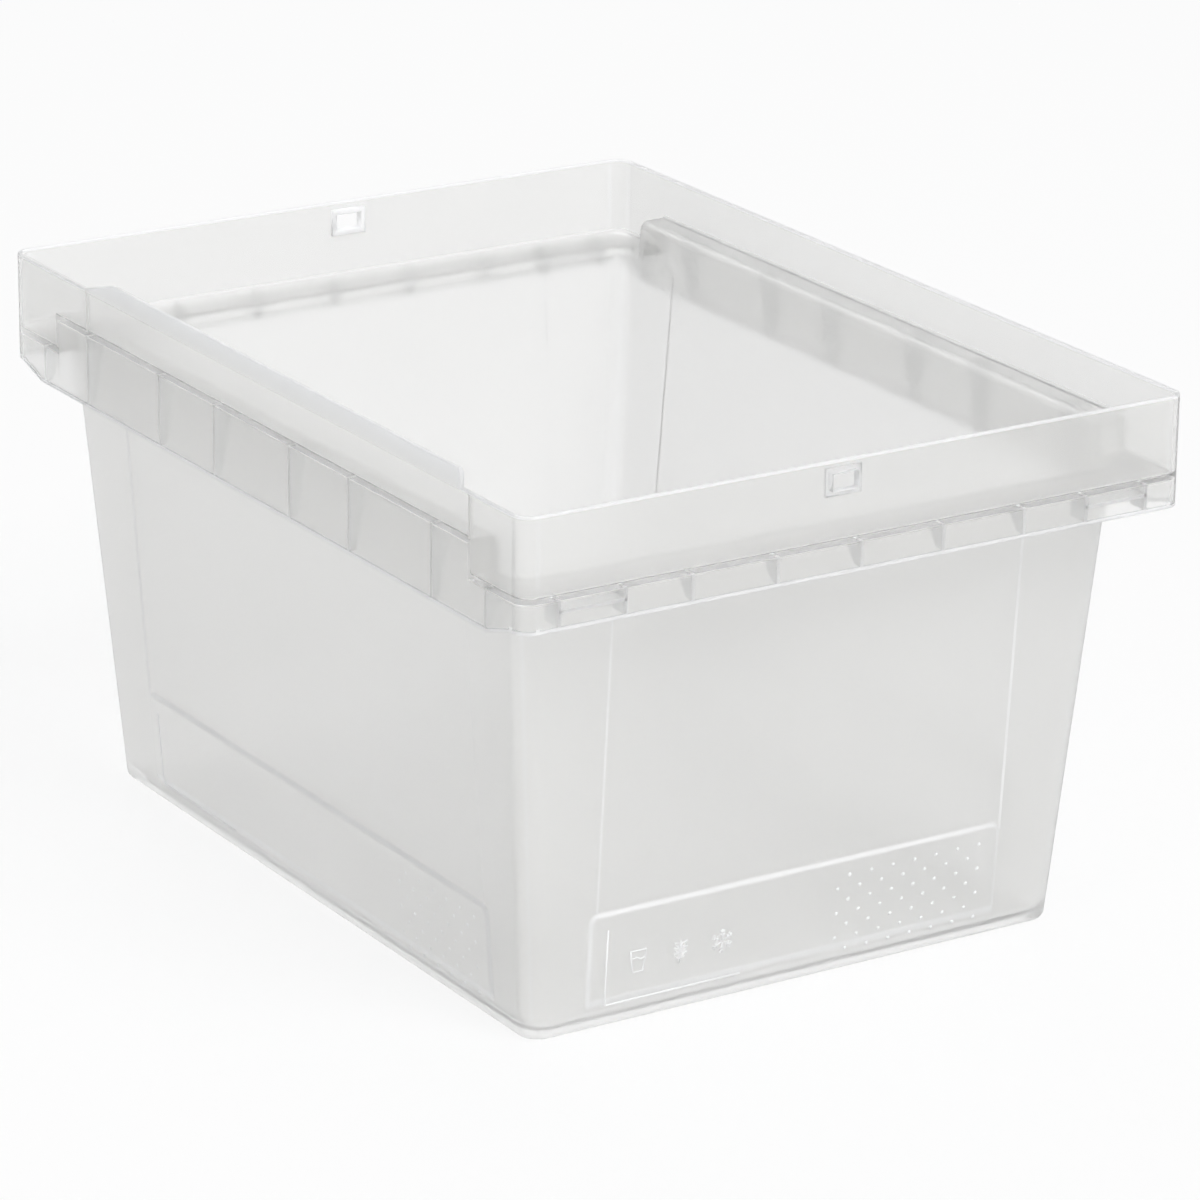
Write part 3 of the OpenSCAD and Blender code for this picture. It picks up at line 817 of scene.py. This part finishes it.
def maths(tree, operation, a, b=None, place=(0, 0), clamp=False):
    node = add_node(tree, "ShaderNodeMath", place, operation=operation, use_clamp=clamp)
    for k, value in enumerate((a, b)):
        if value is None:
            continue
        if isinstance(value, (int, float)):
            node.inputs[k].default_value = value
        else:
            tree.links.new(value, node.inputs[k])
    return node.outputs[0]


def haze_and_edge_highlight():
    """Cloudy density of the plastic, the painted highlight that whitens its moulded edges, and the
    fine grain of its surface.
    """
    number, colour = "NodeSocketFloat", "NodeSocketColor"
    tree, gin, gout = new_group(
        "haze_and_edge_highlight",
        [(label, number, value) for label, value in HAZE_AND_HIGHLIGHT.items()]
        + [("Clear colour", colour, CLEAR), ("Milky colour", colour, MILKY),
           ("Highlight colour", colour, HIGHLIGHT_WHITE)],
        [("Colour", colour), ("Haze", number), ("Grain height", number)])
    coords = add_node(tree, "ShaderNodeTexCoord", (-900, 0))
    cloud = add_node(tree, "ShaderNodeTexNoise", (-600, 200), Detail=3.0, Roughness=0.5)
    tree.links.new(coords.outputs["Object"], cloud.inputs["Vector"])
    tree.links.new(gin.outputs["Cloud scale"], cloud.inputs["Scale"])
    grain = add_node(tree, "ShaderNodeTexNoise", (-600, -200), Detail=2.0, Roughness=0.6)
    tree.links.new(coords.outputs["Object"], grain.inputs["Vector"])
    tree.links.new(gin.outputs["Grain scale"], grain.inputs["Scale"])
    centred = maths(tree, "SUBTRACT", cloud.outputs["Fac"], 0.5, (-400, 200))
    deep = maths(tree, "MULTIPLY", centred, gin.outputs["Cloud depth"], (-250, 200))
    haze = maths(tree, "ADD", deep, 0.5, (-100, 200), clamp=True)
    mix = add_node(tree, "ShaderNodeMix", (60, 300), data_type="RGBA")
    tree.links.new(haze, mix.inputs["Factor"])
    tree.links.new(gin.outputs["Clear colour"], mix.inputs["A"])
    tree.links.new(gin.outputs["Milky colour"], mix.inputs["B"])
    # Painted highlight: the mask mixes edges, corners and raised marks toward the highlight white.
    mask = add_node(tree, "ShaderNodeAttribute", (-400, 500), attribute_name="painted_highlight")
    edge = maths(tree, "MULTIPLY", mask.outputs["Fac"], gin.outputs["Highlight strength"],
                 (-200, 500), clamp=True)
    whiter = add_node(tree, "ShaderNodeMix", (240, 300), data_type="RGBA")
    tree.links.new(edge, whiter.inputs["Factor"])
    tree.links.new(mix.outputs["Result"], whiter.inputs["A"])
    tree.links.new(gin.outputs["Highlight colour"], whiter.inputs["B"])
    tree.links.new(whiter.outputs["Result"], gout.inputs["Colour"])
    tree.links.new(haze, gout.inputs["Haze"])
    height = maths(tree, "MULTIPLY", grain.outputs["Fac"], gin.outputs["Grain depth"],
                   (-100, -200))
    tree.links.new(height, gout.inputs["Grain height"])
    return tree


def plastic_finish(name, haze_and_highlight_group):
    """Milky moulded plastic, with the values that FINISHES gives it."""
    transmission, smooth, rough = FINISHES[name]
    mat = bpy.data.materials.new(name)
    mat.use_nodes = True
    tree = mat.node_tree
    shader = tree.nodes["Principled BSDF"]
    shader.inputs["IOR"].default_value = REFRACTION
    shader.inputs["Transmission Weight"].default_value = transmission
    haze = add_node(tree, "ShaderNodeGroup", (-700, 0))
    haze.node_tree = haze_and_highlight_group
    tree.links.new(haze.outputs["Colour"], shader.inputs["Base Color"])
    spread = add_node(tree, "ShaderNodeMapRange", (-350, -150))
    spread.inputs["To Min"].default_value = smooth
    spread.inputs["To Max"].default_value = rough
    tree.links.new(haze.outputs["Haze"], spread.inputs["Value"])
    tree.links.new(spread.outputs["Result"], shader.inputs["Roughness"])
    bump = add_node(tree, "ShaderNodeBump", (-350, -400))
    bump.inputs["Strength"].default_value = GRAIN_STRENGTH
    bump.inputs["Distance"].default_value = GRAIN_DEPTH
    tree.links.new(haze.outputs["Grain height"], bump.inputs["Height"])
    tree.links.new(bump.outputs["Normal"], shader.inputs["Normal"])
    return mat


# Studio


def seen_rays(tree, place, carried):
    """1 for the camera's own rays, and carried for those that gloss or plastic passes on."""
    path = add_node(tree, "ShaderNodeLightPath", place)
    on = maths(tree, "MAXIMUM", path.outputs["Is Transmission Ray"], path.outputs["Is Glossy Ray"],
               (place[0] + 200, place[1]))
    on = maths(tree, "MULTIPLY", on, carried, (place[0] + 400, place[1]))
    return maths(tree, "MAXIMUM", on, path.outputs["Is Camera Ray"], (place[0] + 600, place[1]))


def floor_material():
    """Pale diffuse floor, mostly plain white to the eye, that keeps the bin's shadow."""
    mat = bpy.data.materials.new("floor_white")
    mat.use_nodes = True
    tree = mat.node_tree
    tree.nodes.clear()
    out = add_node(tree, "ShaderNodeOutputMaterial", (400, 0))
    diffuse = add_node(tree, "ShaderNodeBsdfDiffuse", (-200, 100))
    diffuse.inputs["Color"].default_value = FLOOR_COLOUR
    glow = add_node(tree, "ShaderNodeEmission", (-200, -100))
    glow.inputs["Strength"].default_value = 1.0
    seen = seen_rays(tree, (-1100, 300), FLOOR_CARRIED)
    part = maths(tree, "MULTIPLY", seen, FLOOR_GLOW, (-250, 300))
    mix = add_node(tree, "ShaderNodeMixShader", (100, 0))
    tree.links.new(part, mix.inputs["Fac"])
    tree.links.new(diffuse.outputs[0], mix.inputs[1])
    tree.links.new(glow.outputs[0], mix.inputs[2])
    tree.links.new(mix.outputs[0], out.inputs["Surface"])
    return mat


def studio():
    far = FLOOR_REACH
    floor = mesh_object("floor", [(-far, -far, 0), (far, -far, 0), (far, far, 0), (-far, far, 0)],
                        [(0, 1, 2, 3)])
    floor.location.z = -FLOOR_GAP
    floor.data.materials.append(floor_material())
    world = bpy.data.worlds.new("studio")
    bpy.context.scene.world = world
    world.use_nodes = True
    tree = world.node_tree
    tree.nodes.clear()
    out = add_node(tree, "ShaderNodeOutputWorld", (400, 0))
    fill = add_node(tree, "ShaderNodeBackground", (0, 100))
    fill.inputs["Color"].default_value = FILL_COLOUR
    fill.inputs["Strength"].default_value = FILL_STRENGTH
    seen = add_node(tree, "ShaderNodeBackground", (0, -100))
    seen.inputs["Color"].default_value = (1, 1, 1, 1)
    seen.inputs["Strength"].default_value = 1.0
    mix = add_node(tree, "ShaderNodeMixShader", (200, 0))
    tree.links.new(seen_rays(tree, (-900, 300), SKY_CARRIED), mix.inputs["Fac"])
    tree.links.new(fill.outputs[0], mix.inputs[1])
    tree.links.new(seen.outputs[0], mix.inputs[2])
    tree.links.new(mix.outputs[0], out.inputs["Surface"])
    for name, place, aim, size, power in LAMPS:
        lamp = bpy.data.lights.new(name, "AREA")
        lamp.size = size
        lamp.energy = power
        obj = bpy.data.objects.new(name, lamp)
        bpy.context.scene.collection.objects.link(obj)
        obj.location = place
        toward = Vector(aim) - Vector(place)
        obj.rotation_euler = toward.to_track_quat("-Z", "Y").to_euler()
    bpy.context.scene.view_settings.view_transform = "Standard"


def photo_camera():
    """The camera solved from the photograph's edges."""
    az, el, roll = (math.radians(v) for v in (CAM_TURN, CAM_HEIGHT, CAM_ROLL))
    back = Vector((math.sin(az) * math.cos(el), -math.cos(az) * math.cos(el), math.sin(el)))
    right = Vector((0, 0, 1)).cross(back).normalized()
    up = back.cross(right)
    place = back * CAM_BACK + right * CAM_RIGHT + up * CAM_UP + Vector((0, 0, RIM_H * MM))
    x = right * math.cos(roll) + up * math.sin(roll)
    y = up * math.cos(roll) - right * math.sin(roll)
    data = bpy.data.cameras.new("photo_view")
    data.sensor_fit = "HORIZONTAL"
    data.sensor_width = SENSOR_MM
    data.lens = FOCAL_PX * SENSOR_MM / FRAME_PX
    data.clip_end = 50
    cam = bpy.data.objects.new("photo_view", data)
    bpy.context.scene.collection.objects.link(cam)
    cam.matrix_world = Matrix(((x.x, y.x, back.x, place.x), (x.y, y.y, back.y, place.y),
                               (x.z, y.z, back.z, place.z), (0, 0, 0, 1)))
    bpy.context.scene.camera = cam


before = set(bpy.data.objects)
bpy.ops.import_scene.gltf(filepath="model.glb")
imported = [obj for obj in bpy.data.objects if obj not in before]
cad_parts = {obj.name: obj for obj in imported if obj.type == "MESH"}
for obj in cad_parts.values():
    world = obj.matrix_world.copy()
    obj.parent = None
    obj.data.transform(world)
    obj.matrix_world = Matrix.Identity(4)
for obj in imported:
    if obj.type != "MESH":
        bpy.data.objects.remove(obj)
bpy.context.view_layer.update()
photo_camera()
studio()

haze = haze_and_edge_highlight()
# The fifth finish is the painted highlight finish for the edges.
tub, bands, thick, marks, edges = (plastic_finish(name, haze) for name in FINISHES)
skin_pieces(tub, bands, edges)
for side, name in enumerate(SIDES):
    # The webs get nearly full painted highlight.
    piece = mesh_object(f"{name}_web_set", *webs(side), pale=0.9)
    bevelled(dress(piece, tub if side % 2 else thick, f"{name}_webs"), WEB_SOFT)
for side in (0, 2):
    name = SIDES[side]
    # The pockets and slot borders get painted highlight too.
    piece = mesh_object(f"{name}_pocket_pair", *pockets(side), pale=0.9)
    bevelled(dress(piece, thick, f"{name}_pockets"), SMALL_SOFT)
    piece = mesh_object(f"{name}_slot_border", *slot_frame(side), pale=1.0)
    dress(piece, thick, f"{name}_slot_frame")
bevelled(dress(mesh_object("lip_rib_pair", *ribs()), thick, "lip_ribs"), SMALL_SOFT)
for side, name in enumerate(SIDES):
    # The raised marks get full painted highlight.
    dress(mesh_object(f"{name}_panel_dots", *dots(side), pale=1.0), marks)
    dress(mesh_object(f"{name}_panel_line", *corner_line(side), pale=1.0), marks)
for side in (0, 2):
    dress(mesh_object(f"{SIDES[side]}_panel_signs", *signs(side), pale=1.0), marks)
